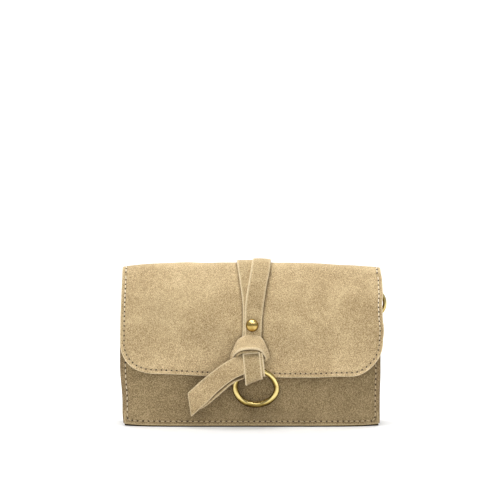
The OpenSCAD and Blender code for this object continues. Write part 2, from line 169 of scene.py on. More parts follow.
def slab_data(P, thick, core, shade=0.0, edge=1.0, under=0.0, bright=0.0):
    """Points, faces and attributes of a sheet: P is its outer face as a grid, facing away from core.

    edge is how pale the cut edges are, or a pair for the grid's first column and for the others; below 0 the
    cut edges are darkened as painted shade. under paints shade on the inner face.
    """
    nu, nv = P.shape[:2]
    N = unit(np.cross(np.gradient(P, axis=0), np.gradient(P, axis=1)), TINY)
    N *= np.sign(np.sum(N * (P - np.asarray(core, float))))
    Q = P - N * thick
    loop = ([(i, 0) for i in range(nu)] + [(nu - 1, j) for j in range(1, nv)]
            + [(i, nv - 1) for i in range(nu - 2, -1, -1)] + [(0, j) for j in range(nv - 2, 0, -1)])
    li, lj = np.array(loop).T
    inside = P[np.clip(li, 1, nu - 2), np.clip(lj, 1, nv - 2)]
    E, EN = P[li, lj], N[li, lj]
    B = unit(np.cross(np.roll(E, -1, 0) - np.roll(E, 1, 0), EN), TINY)
    B *= np.sign(np.sum(B * (E - inside), axis=1, keepdims=True) + TINY)
    rings = [E - EN * thick / 2 + EN * thick * a + B * thick * b for a, b in RIM]
    n = nu * nv
    verts = np.concatenate([P.reshape(-1, 3), Q.reshape(-1, 3)] + rings)
    faces = []
    for i in range(nu - 1):
        for j in range(nv - 1):
            a, b = i * nv + j, (i + 1) * nv + j
            faces.append((a, b, b + 1, a + 1))
            faces.append((n + a, n + a + 1, n + b + 1, n + b))
    m = len(loop)
    chain = ([(li * nv + lj).tolist()]
             + [list(range(2 * n + k * m, 2 * n + (k + 1) * m)) for k in range(len(RIM))]
             + [(n + li * nv + lj).tolist()])
    for first, second in zip(chain, chain[1:]):
        for k in range(m):
            q = (k + 1) % m
            faces.append((first[k], second[k], second[q], first[q]))
    first, others = edge if isinstance(edge, tuple) else (edge, edge)
    rim_raw = np.where(lj == 0, first, others)
    raw = np.zeros(len(verts))
    raw[2 * n:] = np.tile(rim_raw, len(RIM))
    raw[np.array(chain[0])] = raw[np.array(chain[-1])] = 0.8 * rim_raw
    dark, pale = np.zeros(len(verts)), np.zeros(len(verts))
    dark[:n] = np.broadcast_to(shade, (nu, nv)).ravel()
    # under: painted shade on the inner face
    dark[n:2 * n] = under
    pale[:n] = np.broadcast_to(bright, (nu, nv)).ravel()
    return verts, faces, {"raw": raw, "dark": dark, "pale": pale}


def slab(name, P, thick, material, core, slot="suede", **looks):
    verts, faces, attrs = slab_data(P, thick, core, **looks)
    return make(name, verts, faces, material, attrs)


def merged(name, parts, material):
    """One piece from several sets of points, faces and attributes."""
    verts, faces, attrs, base = [], [], {}, 0
    for v, f, a in parts:
        verts.append(v)
        faces += [tuple(i + base for i in face) for face in f]
        for key, values in a.items():
            attrs.setdefault(key, []).append(values)
        base += len(v)
    return make(name, np.concatenate(verts), faces, material,
                {k: np.concatenate(v) for k, v in attrs.items()})


def placed(obj, body, *nodes):
    """The piece moves with a body and stands for those CAD nodes."""
    if nodes:
        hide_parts(*nodes)
    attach(obj, body)


def bends(obj, half, *nodes):
    """The piece stands for those CAD nodes and stays fixed in the world; half is not used."""
    if nodes:
        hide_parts(*nodes)
    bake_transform(obj)


def spline(points, n):
    """n points evenly along a Catmull-Rom curve through the given ones."""
    p = np.asarray(points, float)
    p = np.vstack([2 * p[0] - p[1], p, 2 * p[-1] - p[-2]])
    fine = []
    for a, b, c, d in zip(p, p[1:], p[2:], p[3:]):
        t = np.linspace(0, 1, 24, endpoint=False)[:, None]
        fine.append(0.5 * (2 * b + (c - a) * t + (2 * a - 5 * b + 4 * c - d) * t * t
                           + (3 * b - a - 3 * c + d) * t ** 3))
    fine = np.vstack(fine + [p[-2:-1]])
    length = lengths(fine)
    return at_lengths(fine, length, np.linspace(0, length[-1], n))


def tube_data(path, radius, sides, closed=False):
    """A round tube along a path; radius may be one number or one per point."""
    path = np.asarray(path, float)
    n = len(path)
    radius = np.broadcast_to(np.asarray(radius, float), (n,))
    T = np.roll(path, -1, 0) - np.roll(path, 1, 0) if closed else np.gradient(path, axis=0)
    T = unit(T, TINY)
    side = np.cross(T[0], [0.3, 0.2, 0.93])
    frames = []
    for t in T:
        side = unit(side - t * (side @ t))
        frames.append((side, np.cross(t, side)))
    a = np.linspace(0, 2 * np.pi, sides, endpoint=False)
    verts = np.concatenate([p + r * (np.cos(a)[:, None] * u + np.sin(a)[:, None] * v)
                            for p, r, (u, v) in zip(path, radius, frames)])
    faces = []
    for i in range(n if closed else n - 1):
        j = (i + 1) % n
        for k in range(sides):
            q = (k + 1) % sides
            faces.append((i * sides + k, j * sides + k, j * sides + q, i * sides + q))
    if not closed:
        faces += [tuple(range(sides)), tuple(range((n - 1) * sides, n * sides))]
    return verts, faces, {}


def lathe_data(profile, centre, axis, turns=48):
    """A solid of revolution: profile is (distance from the axis, distance along it) from pole to pole."""
    axis = unit(np.asarray(axis, float))
    u = unit(np.cross(axis, [0.31, 0.17, 0.94]))
    v = np.cross(axis, u)
    a = np.linspace(0, 2 * np.pi, turns, endpoint=False)
    verts, rows = [], []
    for r, h in profile:
        at = np.asarray(centre) + axis * h
        if r < 1e-6:
            rows.append([len(verts)])
            verts.append(at)
        else:
            rows.append(list(range(len(verts), len(verts) + turns)))
            verts += list(at + r * (np.cos(a)[:, None] * u + np.sin(a)[:, None] * v))
    faces = []
    for first, second in zip(rows, rows[1:]):
        for k in range(turns):
            q = (k + 1) % turns
            face = [row[i % len(row)] for row, i in ((first, k), (second, k), (second, q), (first, q))]
            face = tuple(dict.fromkeys(face))     # a pole's point counts once
            if len(face) > 2:
                faces.append(face)
    return np.array(verts), faces, {}


# ---- Materials ----

class Nodes:
    """Short calls for building a material's nodes."""

    def __init__(self, name, on_cad=False):
        self.on_cad = on_cad
        self.mat = bpy.data.materials.new(name)
        self.mat.use_nodes = True
        self.tree = self.mat.node_tree
        self.shader = self.tree.nodes["Principled BSDF"]

    def put(self, socket, value):
        if isinstance(value, bpy.types.NodeSocket):
            self.tree.links.new(value, socket)
        else:
            socket.default_value = value

    def node(self, kind, **inputs):
        """A new node with those inputs; an underscore stands for a space."""
        node = self.tree.nodes.new("ShaderNode" + kind)
        for key, value in inputs.items():
            self.put(node.inputs[key.replace("_", " ")], value)
        return node

    def attribute(self, name, out="Fac"):
        node = self.node("Attribute")
        node.attribute_name = name
        return node.outputs[out]

    def mapped(self, scale, turn=(0, 0, 0)):
        """The rest place in mm, or the place on a CAD piece, scaled and turned."""
        if self.on_cad:
            place, scale = self.node("TexCoord").outputs["Object"], [s / MM for s in scale]
        else:
            place = self.attribute("rest", "Vector")
        return self.node("Mapping", Vector=place, Scale=scale, Rotation=turn).outputs[0]

    def noise(self, scale, detail=3, rough=0.55, stretch=(1, 1, 1), turn=(0, 0, 0), warp=0.0):
        """Noise over the rest place in mm; scale is in features per mm."""
        place = self.mapped([scale * s for s in stretch], turn)
        node = self.node("TexNoise", Vector=place, Scale=1, Detail=detail, Roughness=rough, Distortion=warp)
        return node.outputs["Fac"]

    def math(self, op, a, b=0.0, c=0.0):
        node = self.node("Math")
        node.operation = op
        for socket, value in zip(node.inputs, (a, b, c)):
            self.put(socket, value)
        return node.outputs[0]

    def ramp(self, value, low, high, to_low=0.0, to_high=1.0):
        return self.node("MapRange", Value=value, From_Min=low, From_Max=high,
                         To_Min=to_low, To_Max=to_high).outputs[0]

    def mix(self, factor, a, b, blend="MIX"):
        node = self.node("Mix")
        node.data_type = "RGBA"
        node.blend_type = blend
        self.put(node.inputs["Factor"], factor)
        for socket, value in ((node.inputs[6], a), (node.inputs[7], b)):
            self.put(socket, value if isinstance(value, bpy.types.NodeSocket) else (*value, 1))
        return node.outputs[2]

    def bump(self, height, distance_mm, strength, after=None):
        node = self.node("Bump", Strength=strength, Distance=distance_mm * MM, Height=height)
        if after is not None:
            self.put(node.inputs["Normal"], after)
        return node.outputs[0]

    def set(self, **values):
        for key, value in values.items():
            name = key.replace("_", " ")
            if name.startswith("Base") and not isinstance(value, bpy.types.NodeSocket):
                value = (*value, 1)
            self.put(self.shader.inputs[name], value)
        return self.mat


def srgb(*colour):
    return tuple((c / 255 / 12.92) if c <= 10 else ((c / 255 + 0.055) / 1.055) ** 2.4 for c in colour)


def times(colour, factor):
    return tuple(c * factor for c in colour)


def suede(name, *colours):
    """Brushed suede: cloudy nap, short fibres and a darker seam line; colours dark, mid, light and edge.

    The raw attribute is 1 where a cut edge is pale and below 0 where the cut edge is darkened as painted
    shade. The dark attribute darkens seam lines, darker patches and painted shade; the pale attribute makes
    pale edges and painted highlights.
    """
    dark, mid, light, edge = (srgb(*c) for c in colours)
    n = Nodes(name)
    clouds = n.noise(0.03, 3, 0.55, warp=0.8)
    smears = n.noise(0.10, 4, 0.6, stretch=(0.7, 1, 1.2), turn=(0, 0.5, 0), warp=1.2)
    grain = n.noise(0.95, 3, 0.8)
    fibre = n.noise(1.9, 2, 0.6, stretch=(1.4, 1.4, 0.7), turn=(0.3, 0.4, 0.35))
    tone = 0.5
    for layer, weight in ((clouds, 0.75), (smears, 0.42), (grain, 0.7), (fibre, 3.3)):
        tone = n.math("MULTIPLY_ADD", n.math("SUBTRACT", layer, 0.5), weight, tone)
    low = n.mix(n.ramp(tone, 0.0, 0.5), dark, mid)
    colour = n.mix(n.ramp(tone, 0.5, 1.0), low, light)
    colour = n.mix(n.attribute("pale"), colour, (1.24, 1.25, 1.30), "MULTIPLY")
    colour = n.mix(n.math("MULTIPLY", n.attribute("dark"), 0.6), colour, times(dark, 0.45))
    raw = n.attribute("raw")
    pale = n.math("MULTIPLY", raw, n.ramp(n.noise(1.1, 2), 0.3, 0.6, 0.55, 1.0))
    colour = n.mix(pale, colour, edge)
    colour = n.mix(n.math("MULTIPLY", raw, -1.0), colour, times(dark, 0.3))
    fuzz = n.bump(n.math("MULTIPLY_ADD", fibre, 0.8, grain), 0.40, 0.9)
    # Sheen falls away on cut edges darkened as painted shade.
    return n.set(Base_Color=colour, Roughness=0.95, Specular_IOR_Level=0.12,
                 Sheen_Weight=n.ramp(raw, -0.6, 0.0, 0.0, 0.22), Sheen_Roughness=0.5,
                 Sheen_Tint=(1.0, 0.92, 0.76, 1), Normal=n.bump(smears, 0.6, 0.4, after=fuzz))


def leather(name, dark, light, on_cad=False):
    """Smooth lining leather with fine pebbled grain."""
    dark, light = srgb(*dark), srgb(*light)
    n = Nodes(name, on_cad)
    clouds = n.noise(0.05, 4, 0.6)
    cells = n.node("TexVoronoi", Vector=n.mapped((1.1, 1.1, 1.1)), Scale=1)
    cells.feature = "SMOOTH_F1"
    grain = cells.outputs["Distance"]
    tone = n.math("MULTIPLY_ADD", n.math("SUBTRACT", grain, 0.45), 0.5, clouds)
    colour = n.mix(n.ramp(tone, 0.25, 0.75), dark, light)
    colour = n.mix(n.math("MULTIPLY", n.attribute("raw"), 0.6), colour, times(dark, 0.6))
    return n.set(Base_Color=colour, Roughness=n.ramp(grain, 0.1, 0.8, 0.62, 0.5), Specular_IOR_Level=0.35,
                 Normal=n.bump(grain, 0.12, 0.6))


def metal(name, dark, light, rough, on_cad=False):
    """Antique brass: random tarnish, and painted reflections from an attribute: pale highlights where it is
    low, brown where it is high.
    """
    dark, light = srgb(*dark), srgb(*light)
    n = Nodes(name, on_cad)
    tarnish = n.noise(0.16, 4, 0.6, warp=0.5)
    brushed = n.noise(2.2, 3, 0.6, stretch=(1, 1, 0.15), turn=(0.5, 0.2, 0.1))
    # painted reflection from the attribute, plus random tarnish
    tarnish_and_painted_reflection = n.math("MULTIPLY_ADD", n.attribute("painted_reflection"), 0.85, n.ramp(tarnish, 0.45, 0.8, 0.0, 0.25))
    gold = tuple(0.55 * a + 0.45 * b for a, b in zip(dark, light))
    gold = (gold[0], 0.93 * gold[1], 0.66 * gold[2])
    colour = n.mix(n.ramp(tarnish_and_painted_reflection, 0.0, 0.4), light, gold)
    colour = n.mix(n.ramp(tarnish_and_painted_reflection, 0.5, 1.0), colour, dark)
    return n.set(Base_Color=colour, Metallic=1.0, Specular_IOR_Level=0.5,
                 Roughness=n.ramp(n.math("ADD", tarnish, brushed), 0.75, 1.3, rough - 0.03, rough + 0.06),
                 Normal=n.bump(brushed, 0.004, 0.1))


def thread(name, dark, light, cream):
    """Waxed thread, cream where the pale attribute is 1, and painted shade for the needle holes beside it."""
    n = Nodes(name)
    strands = n.noise(2.6, 3, 0.6, warp=1.5)
    colour = n.mix(n.ramp(strands, 0.3, 0.7), srgb(*dark), srgb(*light))
    colour = n.mix(n.attribute("pale"), colour, srgb(*cream))
    # painted shade: the needle holes are dark
    colour = n.mix(n.attribute("hole"), colour, srgb(54, 34, 12))
    return n.set(Base_Color=colour, Roughness=0.6, Sheen_Weight=0.12, Sheen_Roughness=0.4,
                 Normal=n.bump(strands, 0.08, 0.8))


def woven(name, dark, light):
    """Herringbone zip tape."""
    n = Nodes(name)
    waves = [n.node("TexWave", Vector=n.mapped((1, 1, 1), (0, 0, turn)), Scale=0.75, Distortion=0.6)
             for turn in (0.6, -0.6)]
    weave = n.math("MULTIPLY", waves[0].outputs["Fac"], waves[1].outputs["Fac"])
    colour = n.mix(n.ramp(weave, 0.0, 0.8), srgb(*dark), srgb(*light))
    return n.set(Base_Color=colour, Roughness=0.85, Sheen_Weight=0.3, Normal=n.bump(weave, 0.15, 0.8))


SUEDE = suede("suede", (128, 107, 75), (173, 150, 111), (208, 187, 147), (228, 210, 174))
SUEDE_STRAP = suede("suede_strap", (121, 101, 70), (164, 142, 104), (198, 178, 139), (230, 212, 176))
# The front panel's suede is darker: partly its own colour, partly painted shade beneath the flap.
SUEDE_LOW = suede("suede_panel", (94, 79, 54), (138, 118, 85), (182, 161, 122), (190, 170, 132))
SUEDE_DARK = suede("suede_gusset", (96, 80, 58), (130, 110, 80), (160, 140, 106), (150, 128, 96))
LINING = leather("lining_leather", (134, 110, 76), (172, 147, 108))
BRASS = metal("antique_brass", (80, 56, 20), (255, 233, 158), 0.18)
DOME_BRASS = metal("rivet_brass", (84, 62, 24), (250, 220, 145), 0.26)
THREAD = thread("waxed_thread", (150, 128, 90), (186, 164, 124), (240, 228, 200))
TAPE = woven("zip_tape", (104, 84, 58), (150, 128, 92))


def fitting(name, node, body, parts, material=BRASS):
    placed(merged(name, parts, material), body, node)


# ---- The outer sheet: back, fold and flap ----

def profile():
    """The sheet's outer line from the back's lower edge, over the fold, to the flap's lower edge."""
    z = np.arange(1.0, FOLD_Z, 1.0)
    back = np.stack([back_y(z), z], 1)
    a = np.radians(np.arange(0, 181, 7.5))
    over = np.stack([(FOLD_R + 0.3) * np.cos(a), FOLD_Z + (FOLD_R + 0.3) * np.sin(a)], 1)
    front = np.stack([flap_y(z), z], 1)[::-1]
    front = front[front[:, 1] > FLAP_Z]
    line = np.vstack([back, over, front, [[flap_y(FLAP_Z), FLAP_Z]]])
    length = lengths(line)
    s = np.linspace(0, length[-1], int(length[-1] * 2))
    fine = at_lengths(line, length, s)
    kernel = np.exp(-0.5 * (np.arange(-12, 13) / 4.2) ** 2)
    kernel /= kernel.sum()
    padded = np.vstack([2 * fine[0] - fine[12:0:-1], fine, 2 * fine[-1] - fine[-2:-14:-1]])
    fine = np.stack([np.convolve(padded[:, k], kernel, "valid") for k in (0, 1)], 1)
    tangent = unit(np.gradient(fine, axis=0))
    return s, fine, np.stack([tangent[:, 1], -tangent[:, 0]], 1)


S, LINE, OUT = profile()
TOP = int(np.argmax(LINE[:, 1]))
S_TOP, S_END = S[TOP], S[-1]


def s_front(z):
    """Where on the sheet the flap reaches a height."""
    return np.interp(-np.asarray(z, float), -LINE[TOP:, 1], S[TOP:])


def s_back(z):
    return np.interp(np.asarray(z, float), LINE[:TOP, 1], S[:TOP])


def half_width(s):
    return HALF_BODY + (HALF_FLAP - HALF_BODY) * step(S_TOP - 34, S_TOP - 8, s)


def edge_distance(x, s):
    """Distance in mm from a point of the sheet to its nearest cut edge."""
    x, s = np.abs(x), np.asarray(s, float)
    side = half_width(s) - x
    low = S_END - s
    r = CORNER_R
    corner = r - np.hypot(np.maximum(x - (HALF_FLAP - r), 0), np.maximum(r - low, 0))
    front = np.where((x > HALF_FLAP - r) & (low < r), corner, np.minimum(side, low))
    return np.where(s > S_TOP, front, np.minimum(side, s))


def seam_dip(d, seam=SEAM_IN, depth=0.34):
    """How far a seam at that distance from the edge draws the surface in."""
    return -depth * np.exp(-((d - seam) / 0.95) ** 2) - 0.22 * (1 - step(0.0, seam, d))


def shoulder(z):
    """The flap's right side stands out a little below the fold and again lower down."""
    return 0.9 * step(116, 108, z) * step(90, 98, z) + 0.8 * np.exp(-((z - 70) / 6.5) ** 2)


def sag(x):
    """The flap's lower edge hangs lowest right of its middle and rises towards its corners."""
    left = 2.1 * step(16, 74, -x) * (1 - 0.6 * step(76, 90, -x))
    return left - 0.7 * step(5, 25, x) * (1 - step(46, 62, x)) + 1.0 * step(76, 90, x)


def outer(x, s, off=0.0):
    """A point on the sheet, off mm outside its outer face."""
    x, s = np.broadcast_arrays(np.asarray(x, float), np.asarray(s, float))
    y, z = np.interp(s, S, LINE[:, 0]), np.interp(s, S, LINE[:, 1])
    ny, nz = np.interp(s, S, OUT[:, 0]), np.interp(s, S, OUT[:, 1])
    d = edge_distance(x, s)
    flat = step(0, 14, s) * step(0, 10, d)
    lift = seam_dip(d) + flat * (0.42 * ripple(x, s, 70) + 0.16 * ripple(s, x, 24)) + off
    uneven = 0.6 * step(25, 50, -x) - 0.6 * step(8, 20, x) * (1 - step(58, 78, x))
    droop = (uneven - 3.6 * np.abs(x / HALF_FLAP) ** 3.2) * step(58, TOP_Z, z)
    droop = droop + np.where(s > S_TOP, sag(x) * step(72, 42, z), 0)
    spread = np.where(s > S_TOP, (x / HALF_FLAP) ** 6 * step(-10, 10, x) * shoulder(z), 0)
    return np.stack([x + spread, y + ny * lift, z + nz * lift + droop], -1)


def sheet_grid(inset, nx, s0=0.0):
    """The sheet's outline as a grid; near the flap's lower corners the rows follow the round."""
    r = CORNER_R - inset
    turn = arc(90, 0, 26)
    corner = S_END - inset - r
    rows = np.concatenate([np.arange(s0 + inset, corner, 1.5), corner + r * np.cos(turn)])
    reach = half_width(rows) - inset
    last = len(turn)
    reach[-last:] = reach[-last:] - r + r * np.sin(turn)
    u = np.linspace(-1, 1, nx)
    u = np.sign(u) * (1 - (1 - np.abs(u)) ** 1.15)
    X = u[:, None] * reach[None, :]
    return X, np.broadcast_to(rows, X.shape)


BACK_LOW = float(s_back(78.0))
SIDE = float(s_back(FOLD_Z))


def edge_line(low, side, *front):
    """A strap's edge as (s, X): X low on the back, X beside the fold, then (X, height) on the flap."""
    return [(BACK_LOW, low), (SIDE, side)] + [(float(s_front(z)), x) for x, z in front]


left_l = edge_line(-10.5, -10.6, (-10.9, 118), (-9.84, 112.4), (-8.72, 105.2), (-7.61, 98), (-6.51, 91),
                   (-6.15, 84), (-6.15, 70), (-6.6, 64), (-6.9, 52), (-6.5, 46))
left_r = edge_line(2.1, 2.0, (1.7, 118), (2.4, 112.4), (3.4, 105.2), (4.4, 98), (5.3, 91), (5.7, 84),
                   (5.6, 70), (5.6, 46))
right_l = edge_line(2.5, 2.2, (1.4, 118), (-0.4, 112.4), (-1.46, 105.2), (-2.9, 98), (-4.0, 91), (-4.7, 84),
                    (-4.85, 77), (-4.85, 46))
right_r = edge_line(14.8, 14.6, (14.2, 118), (13.4, 112.4), (11.9, 105.2), (10.4, 98), (9.3, 91), (8.2, 84),
                    (7.5, 77), (7.1, 70), (6.8, 64), (6.6, 46))
STRAP_END = float(s_front(45.0))


def painted_highlight(s):
    """Painted highlight: the sheet is paler where it bends over the top, and low on the flap."""
    z = np.interp(s, S, LINE[:, 1])
    low = 0.55 * step(70, 44, z) + 0.25 * step(S_END - 14, S_END, s)
    return 0.8 * step(84, 119, z) + np.where(s > S_TOP, low, 0)


def strap_painted_shadow(x, s):
    """Painted shadow on the sheet right beside the straps, stronger beside the right strap."""
    low = np.interp(s, *zip(*left_l))
    high = np.interp(s, *zip(*right_r))
    marks = np.exp(-((x - low + 0.5) / 0.8) ** 2) + 1.25 * np.exp(-((x - high - 0.6) / 0.9) ** 2)
    return marks * step(BACK_LOW - 1, BACK_LOW + 3, s) * step(STRAP_END - 6, STRAP_END - 22, s)


OUTER_EDGE = [(-12.5, -25.0, 46.5), (-15.0, -28.0, 48.2), (-15.0, -28.6, 51), (-13.6, -28.0, 54.2),
              (-12.6, -27.2, 57.2), (-11.5, -26.2, 60.4), (-9.4, -25.2, 63.2), (-6.4, -24.0, 65.0),
              (-3, -23.7, 66.2), (0.4, -23.7, 66.6), (3.6, -23.7, 66.2), (6.3, -24.0, 65.0),
              (8.6, -25.2, 62.3), (10.3, -26.4, 58.8), (11.8, -27.6, 55.2), (12.7, -29.2, 51.9),
              (11.8, -29.6, 49.2), (8.8, -27.2, 46.8)]


def knot_painted_shadow(P):
    """Painted shadow on the flap right round the knot's band."""
    edge = spline([(x, z) for x, y, z in OUTER_EDGE], 60)
    near = np.min(np.hypot(P[..., 0, None] - edge[:, 0], P[..., 2, None] - edge[:, 1]), axis=-1)
    return np.where(P[..., 1] < 0, np.exp(-(near / 1.1) ** 2), 0)


# Darker places on the flap: middle in x and z, size in x and z, how dark.
PATCHES = [(-66, 83, 13, 11, 0.22), (-30, 68, 17, 12, 0.18), (26, 56, 14, 12, 0.16)]


def darker_patches(P):
    """The darker places on the flap."""
    patches = sum(depth * np.exp(-((P[..., 0] - x) / wide) ** 2 - ((P[..., 2] - z) / high) ** 2)
                  for x, z, wide, high, depth in PATCHES)
    return np.where(P[..., 1] < 0, patches, 0)


X, SS = sheet_grid(0.35, 150)
P = outer(X, SS)
d = edge_distance(X, SS)
margin = np.where(SS > S_TOP, 0.8 * step(3.0, 1.6, d) * step(70, 50, P[..., 2]), 0)
# marks: painted shadow beside the straps and round the knot's band, and darker patches
marks = 0.9 * strap_painted_shadow(X, SS) + 0.9 * knot_painted_shadow(P) + darker_patches(P)
# bright: painted highlight over the top and low on the flap, plus the pale cut-edge margin
sheet = slab("suede_back_fold_flap", P, SUEDE_T, SUEDE, INSIDE, bright=painted_highlight(SS) + margin,
             shade=0.3 * np.exp(-((d - SEAM_IN) / 0.6) ** 2) + marks)
bends(sheet, 6.4, "flap_panel", "fold", "back_panel")

P = outer(*sheet_grid(0.9, 90, s0=8.0), -SUEDE_T - LINING_GAP)
bends(slab("lining_back_fold_flap", P, LINING_T, LINING, INSIDE, "lining"),
      5.3, "flap_lining", "fold_lining", "back_lining")


# ---- Stitches ----

NEEDLE_HOLE = [(0, 0.13), (0.48, 0.11), (0.7, 0.0), (0.45, -0.25), (0, -0.35)]


def stitches(name, points, normals, seed, pale=0.4, length=2.5, radius=0.33):
    """Threads between needle holes: points are the stitches' middles; pale is 1 where a thread shows its full
    cream colour.
    """
    points, normals = np.asarray(points, float), np.asarray(normals, float)
    along = np.gradient(points, axis=0)
    pitch = np.linalg.norm(along, axis=1, keepdims=True)
    along /= pitch
    rng = np.random.default_rng(seed)
    parts = []
    t = np.linspace(-1, 1, 9)
    pale = np.broadcast_to(pale, len(points))
    for p, d, n, gap, cream in zip(points, along, normals, pitch[:, 0], pale):
        n = unit(n - d * (n @ d))
        side = np.cross(d, n)
        slant = rng.uniform(-0.12, 0.12)
        d2 = d * math.cos(slant) + side * math.sin(slant)
        path = p + np.outer(t * length / 2, d2) + np.outer(0.22 - 0.42 * t ** 4, n)
        r = radius * np.sqrt(np.clip(1 - 0.92 * t ** 6, 0.05, 1)) * rng.uniform(0.93, 1.06)
        v, f, _ = tube_data(path, r, 8)
        parts.append((v, f, {"hole": np.zeros(len(v)), "pale": np.full(len(v), cream)}))
        where = p + d * gap / 2 + side * rng.uniform(-0.08, 0.08)
        size = rng.uniform(0.9, 1.12)
        v, f, _ = lathe_data([(r * size, h) for r, h in NEEDLE_HOLE], where, n, 12)
        parts.append((v, f, {"hole": np.ones(len(v)), "pale": np.zeros(len(v))}))
    return merged(name, parts, THREAD)


def points_and_normals(surface, seam):
    """A seam, given as pairs of a surface's parameters, as points on it with their normals."""
    a, b = np.transpose(seam)
    p = surface(a, b)
    return p, unit(np.cross(surface(a + 0.5, b) - p, surface(a, b + 0.5) - p))


def even(points, pitch):
    """The polyline's points, one pitch apart."""
    points = np.asarray(points, float)
    length = lengths(points)
    n = int(length[-1] / pitch)
    return at_lengths(points, length, (length[-1] - (n - 1) * pitch) / 2 + np.arange(n) * pitch)


def seam_line(half, top, low, r, n, n_turn, pitch):
    """A seam down the right side, round corners of radius r from low on, and up the left."""
    down = math.copysign(1, low - top)
    right = ([(half, s) for s in np.linspace(top, low, n)]
             + [(half - r + r * math.cos(t), low + down * r * math.sin(t)) for t in arc(0, 90, n_turn)])
    return even(right + [(-x, s) for x, s in right[::-1]], pitch)


r = CORNER_R - SEAM_IN
seam = seam_line(HALF_FLAP - SEAM_IN, s_front(FOLD_Z + 1), S_END - SEAM_IN - r, r, 40, 30, SEAM_PITCH)
points, normals = points_and_normals(outer, seam)
fade = np.where(seam[:, 0] > 0, 18, 34)
pale = 0.1 + 0.85 * np.clip((S_END - fade - seam[:, 1]) / 26, 0, 1)
placed(stitches("flap_stitches", points, -normals, 2, pale), "flap", "flap_stitching")
under = points + normals * (SUEDE_T + LINING_T + LINING_GAP)
placed(stitches("flap_stitches_under", under, normals, 6), "flap")

for side, label in ((1, "right"), (-1, "left")):
    s = np.arange(s_back(FOLD_Z - 14), s_front(FOLD_Z + 2), SEAM_PITCH)
    points, normals = points_and_normals(outer, np.stack([side * (half_width(s) - SEAM_IN), s], 1))
    bends(stitches(f"fold_stitches_{label}", points, -normals, 3, 0.95), 6.4)

seam = seam_line(HALF_BODY - BACK_SEAM_IN, s_back(FOLD_Z - 16), s_back(4.8) + 3, 3, 30, 6, BODY_PITCH)
points, normals = points_and_normals(outer, seam)
placed(stitches("back_stitches", points, -normals, 4), "body", "back_stitching")


# ---- Front panel, gussets and base ----

def lifted(x):
    """The base's corners stand a little off the floor."""
    return 0.35 * step(78, 92, np.abs(x))


def bow(x, z):
    """How far the body's sides stand out beyond the CAD's, more on the left."""
    left = 0.6 * step(2, 10, z) + 1.7 * step(16, 44, z)
    right = 0.5 * step(20, 40, z)
    return np.where(x < 0, -left, right) * (np.abs(x) / HALF_BODY) ** 8 * step(92, 66, z)


def forward(x, z):
    """How far the front panel's lower edge stands out in its middle."""
    return 6.0 * (1 - (np.abs(x) / HALF_BODY) ** 6) * step(12.5, 1.0, z)


def panel_edge(x, z):
    """Distance in mm from a point of the front panel to its nearest side or its lower edge."""
    return np.minimum(HALF_BODY - np.abs(x), z - 1)


def panel(x, z, off=0.0):
    """A point on the front panel, off mm outside its outer face."""
    x, z = np.broadcast_arrays(np.asarray(x, float), np.asarray(z, float))
    d = panel_edge(x, z)
    calm = step(2, 14, d) * step(MOUTH_Z, MOUTH_Z - 20, z)
    waves = 0.25 * ripple(x + 40, z, 60) + 0.1 * ripple(z, x, 22)
    y = panel_y(z) - (seam_dip(d, PANEL_SEAM_IN, 0.26) + calm * waves) - off - forward(x, z)
    return np.stack([x + bow(x, z), y, z + lifted(x) * step(26, 2, z)], -1)


X, Z = grid((-HALF_BODY + 0.35, HALF_BODY - 0.35, 150), (1.25, MOUTH_Z, 90))
seam_shade = 0.3 * np.exp(-((panel_edge(X, Z) - PANEL_SEAM_IN) / 0.7) ** 2)
# shade: the seam line, a little darker all over, and painted shade towards the right
front = slab("front_panel_suede", panel(X, Z), SUEDE_T, SUEDE_LOW, INSIDE,
             shade=seam_shade + 0.08 + 0.22 * step(-30, 60, X),
             bright=0.5 * step(2.6, 1.4, HALF_BODY - np.abs(X)))
placed(front, "body", "front_panel")

P = panel(*grid((-85, 85, 90), (8.4, MOUTH_Z - 1, 50)), -SUEDE_T - LINING_GAP)
placed(slab("front_lining_leather", P, LINING_T, LINING, INSIDE, "lining"), "body", "front_lining")

seam = seam_line(HALF_BODY - PANEL_SEAM_IN, MOUTH_Z - 3, 6.8, 3, 30, 6, BODY_PITCH)
points, normals = points_and_normals(panel, seam)
cream = 0.12 + 0.38 * step(6, 10, seam[:, 1]) * (seam[:, 0] < 0)
placed(stitches("front_stitches", points, normals, 5, cream), "body", "front_stitching")


def rounded(points):
    """A polyline with its corners cut three times."""
    p = np.asarray(points, float)
    for _ in range(3):
        cut = np.stack([0.75 * p[:-1] + 0.25 * p[1:], 0.25 * p[:-1] + 0.75 * p[1:]], 1)
        p = np.concatenate([p[:1], cut.reshape(-1, 2), p[-1:]])
    return p


def gusset_grid():
    """The right gusset: two flanges and an inward fold between them, from the floor up to the mouth."""
    rows = []
    for z in np.linspace(1.8, MOUTH_Z - 0.3, 60):
        f, b = panel_y(z) + SUEDE_T + 0.05, back_y(z) - SUEDE_T - 0.05
        h = b - f
        deep = 12 + 1.2 * math.sin(z / 17)
        out = HALF_BODY + 0.45
        line = rounded([(out, f), (88.4, f), (86.2, f + 0.10 * h), (HALF_BODY - deep + 1.6, f + 0.36 * h),
                        (HALF_BODY - deep - 1, f + 0.5 * h), (HALF_BODY - deep + 1.6, f + 0.64 * h),
                        (86.2, b - 0.10 * h), (88.4, b), (out, b)])
        rows.append([(x, y, z + float(lifted(x)) * float(step(26, 2, z))) for x, y in line])
    return np.array(rows)


def bowed(P):
    """The gusset's front follows the panel's bowed side; its rear stays on the back."""
    x, y, z = np.moveaxis(P, -1, 0)
    front = panel_y(z)
    share = np.clip((back_y(z) - y) / (back_y(z) - front), 0, 1)
    return np.stack([x + bow(x, z) * share, y, z], -1)


